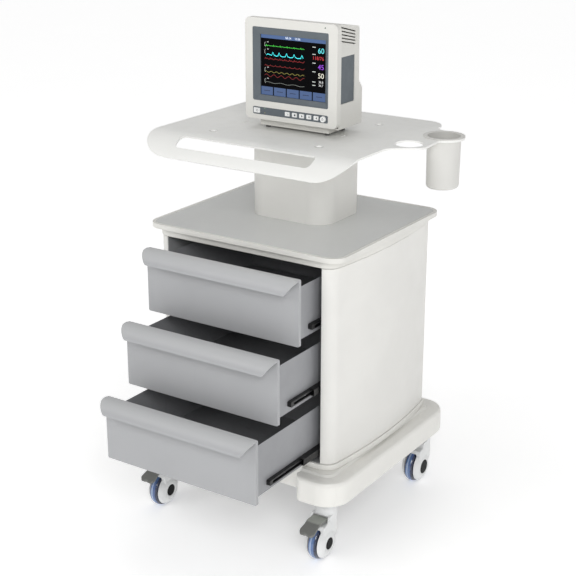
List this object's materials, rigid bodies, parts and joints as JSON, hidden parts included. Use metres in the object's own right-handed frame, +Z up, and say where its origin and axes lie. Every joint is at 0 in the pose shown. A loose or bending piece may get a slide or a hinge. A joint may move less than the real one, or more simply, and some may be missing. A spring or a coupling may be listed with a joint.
{
  "type": "crash cart",
  "caption": "Hospital crash cart on four swivel casters with telescopic drawers, a worktop, a raised tray on a column, a lift-out bin and a bedside monitor.",
  "frame": {"origin": "on the floor, under the middle of the cart's whole box with its drawers stepped open as stored", "axes": "+Z up, -Y the side the drawers open to, +X right as seen from that side"},
  "size_m": [0.788, 0.922, 1.42],
  "materials": {
    "moulded_white": "smooth white moulded plastic with a soft gloss",
    "panel_white": "white moulded plastic, satin, fine texture",
    "inner_grey": "light grey powder coat",
    "mat_grey": "light grey film, matt",
    "column_grey": "light grey powder coat, satin",
    "tray_sheet": "off-white moulded sheet, satin",
    "drawer_grey": "mid grey moulded plastic, satin",
    "drawer_steel": "mid grey powder-coated sheet",
    "rail_black": "black coated steel, thin grease film",
    "zinc_steel": "zinc-plated steel",
    "bin_white": "off-white moulded plastic",
    "caster_white": "white moulded nylon",
    "pin_dark": "dark end caps on steel pins",
    "core_grey": "grey nylon",
    "tyre_blue": "translucent blue polyurethane, glossy",
    "pedal_grey": "grey moulded nylon",
    "monitor_white": "warm white moulded plastic, fine spark texture",
    "monitor_slate": "slate grey moulded plastic",
    "screen": "dark display behind clear glass",
    "key_white": "white moulded key",
    "rubber_black": "black rubber"
  },
  "bodies": {
    "cart": {"base_shell": "moulded_white", "chassis": "zinc_steel", "bottom_frame": "moulded_white", "carcass": "inner_grey", "side_panel_left": "panel_white", "side_panel_right": "panel_white", "back_panel": "panel_white", "panel_screws": "zinc_steel", "top_frame": "moulded_white", "worktop": "moulded_white", "worktop_mat": "mat_grey", "column": "column_grey", "column_plates": "zinc_steel", "tray": "tray_sheet", "fixed_rails": "rail_black", "monitor_bezel": "monitor_white", "monitor_housing": "monitor_white", "monitor_screen_frame": "monitor_slate", "monitor_screen": "screen", "monitor_key_panel": "monitor_slate", "monitor_side_panel": "monitor_slate", "monitor_feet": "rubber_black"},
    "drawer_1": {"drawer_front_1": "drawer_grey", "drawer_box_1": "drawer_steel", "drawer_rails_1": "rail_black"},
    "mid_rails_1": {"mid_rails_1": "rail_black"},
    "drawer_2": {"drawer_front_2": "drawer_grey", "drawer_box_2": "drawer_steel", "drawer_rails_2": "rail_black"},
    "mid_rails_2": {"mid_rails_2": "rail_black"},
    "drawer_3": {"drawer_front_3": "drawer_grey", "drawer_box_3": "drawer_steel", "drawer_rails_3": "rail_black"},
    "mid_rails_3": {"mid_rails_3": "rail_black"},
    "bin": {"bin": "bin_white"},
    "caster_fl": {"caster_shell_fl": "caster_white", "caster_pins_fl": "pin_dark"},
    "wheel_fl": {"wheel_core_fl": "core_grey", "tyre_fl": "tyre_blue"},
    "caster_fr": {"caster_shell_fr": "caster_white", "caster_pins_fr": "pin_dark"},
    "wheel_fr": {"wheel_core_fr": "core_grey", "tyre_fr": "tyre_blue"},
    "caster_bl": {"caster_shell_bl": "caster_white", "caster_pins_bl": "pin_dark"},
    "wheel_bl": {"wheel_core_bl": "core_grey", "tyre_bl": "tyre_blue"},
    "caster_br": {"caster_shell_br": "caster_white", "caster_pins_br": "pin_dark"},
    "wheel_br": {"wheel_core_br": "core_grey", "tyre_br": "tyre_blue"},
    "brake_fl": {"brake_pedal_fl": "pedal_grey"},
    "brake_fr": {"brake_pedal_fr": "pedal_grey"},
    "power_key_body": {"power_key": "key_white"},
    "soft_key_1_body": {"soft_key_1": "key_white"},
    "soft_key_2_body": {"soft_key_2": "key_white"},
    "soft_key_3_body": {"soft_key_3": "key_white"},
    "soft_key_4_body": {"soft_key_4": "key_white"},
    "soft_key_5_body": {"soft_key_5": "key_white"},
    "knob": {"monitor_knob": "key_white"}
  },
  "joints": [
    {"name": "drawer_1_slide", "type": "slide", "parent": "cart", "child": "drawer_1", "axis": [0, -1, 0], "range_m": [-0.098, 0.302]},
    {"name": "mid_rails_1_slide", "type": "slide", "parent": "cart", "child": "mid_rails_1", "axis": [0, -1, 0], "range_m": [-0.049, 0.151]},
    {"name": "drawer_2_slide", "type": "slide", "parent": "cart", "child": "drawer_2", "axis": [0, -1, 0], "range_m": [-0.196, 0.204]},
    {"name": "mid_rails_2_slide", "type": "slide", "parent": "cart", "child": "mid_rails_2", "axis": [0, -1, 0], "range_m": [-0.098, 0.102]},
    {"name": "drawer_3_slide", "type": "slide", "parent": "cart", "child": "drawer_3", "axis": [0, -1, 0], "range_m": [-0.294, 0.106]},
    {"name": "mid_rails_3_slide", "type": "slide", "parent": "cart", "child": "mid_rails_3", "axis": [0, -1, 0], "range_m": [-0.147, 0.053]},
    {"name": "bin_lift", "type": "slide", "parent": "cart", "child": "bin", "axis": [0, 0, 1], "range_m": [0, 0.15]},
    {"name": "caster_fl_swivel", "type": "hinge", "parent": "cart", "child": "caster_fl", "pos_m": [-0.325, -0.131, 0.171], "axis": [0, 0, 1], "continuous": true},
    {"name": "wheel_fl_roll", "type": "hinge", "parent": "caster_fl", "child": "wheel_fl", "pos_m": [-0.325, -0.159, 0.0515], "axis": [1, 0, 0], "continuous": true},
    {"name": "caster_fr_swivel", "type": "hinge", "parent": "cart", "child": "caster_fr", "pos_m": [0.227, -0.131, 0.171], "axis": [0, 0, 1], "continuous": true},
    {"name": "wheel_fr_roll", "type": "hinge", "parent": "caster_fr", "child": "wheel_fr", "pos_m": [0.227, -0.159, 0.0515], "axis": [1, 0, 0], "continuous": true},
    {"name": "caster_bl_swivel", "type": "hinge", "parent": "cart", "child": "caster_bl", "pos_m": [-0.325, 0.415, 0.171], "axis": [0, 0, 1], "continuous": true},
    {"name": "wheel_bl_roll", "type": "hinge", "parent": "caster_bl", "child": "wheel_bl", "pos_m": [-0.325, 0.387, 0.0515], "axis": [1, 0, 0], "continuous": true},
    {"name": "caster_br_swivel", "type": "hinge", "parent": "cart", "child": "caster_br", "pos_m": [0.227, 0.415, 0.171], "axis": [0, 0, 1], "continuous": true},
    {"name": "wheel_br_roll", "type": "hinge", "parent": "caster_br", "child": "wheel_br", "pos_m": [0.227, 0.387, 0.0515], "axis": [1, 0, 0], "continuous": true},
    {"name": "brake_fl_press", "type": "hinge", "parent": "caster_fl", "child": "brake_fl", "pos_m": [-0.325, -0.158, 0.121], "axis": [1, 0, 0], "range_deg": [0, 9]},
    {"name": "brake_fr_press", "type": "hinge", "parent": "caster_fr", "child": "brake_fr", "pos_m": [0.227, -0.158, 0.121], "axis": [1, 0, 0], "range_deg": [0, 9]},
    {"name": "power_key_press", "type": "slide", "parent": "cart", "child": "power_key_body", "axis": [0, 1, 0], "range_m": [0, 0.0015], "stiffness_N_per_m": 400},
    {"name": "soft_key_1_press", "type": "slide", "parent": "cart", "child": "soft_key_1_body", "axis": [0, 1, 0], "range_m": [0, 0.0015], "stiffness_N_per_m": 400},
    {"name": "soft_key_2_press", "type": "slide", "parent": "cart", "child": "soft_key_2_body", "axis": [0, 1, 0], "range_m": [0, 0.0015], "stiffness_N_per_m": 400},
    {"name": "soft_key_3_press", "type": "slide", "parent": "cart", "child": "soft_key_3_body", "axis": [0, 1, 0], "range_m": [0, 0.0015], "stiffness_N_per_m": 400},
    {"name": "soft_key_4_press", "type": "slide", "parent": "cart", "child": "soft_key_4_body", "axis": [0, 1, 0], "range_m": [0, 0.0015], "stiffness_N_per_m": 400},
    {"name": "soft_key_5_press", "type": "slide", "parent": "cart", "child": "soft_key_5_body", "axis": [0, 1, 0], "range_m": [0, 0.0015], "stiffness_N_per_m": 400},
    {"name": "knob_turn", "type": "hinge", "parent": "cart", "child": "knob", "pos_m": [0.0835, 0.067, 1.169], "axis": [0, -1, 0], "continuous": true}
  ],
  "couplings": [
    {"joint": "mid_rails_1_slide", "follows": "drawer_1_slide", "ratio": 0.5},
    {"joint": "mid_rails_2_slide", "follows": "drawer_2_slide", "ratio": 0.5},
    {"joint": "mid_rails_3_slide", "follows": "drawer_3_slide", "ratio": 0.5}
  ]
}
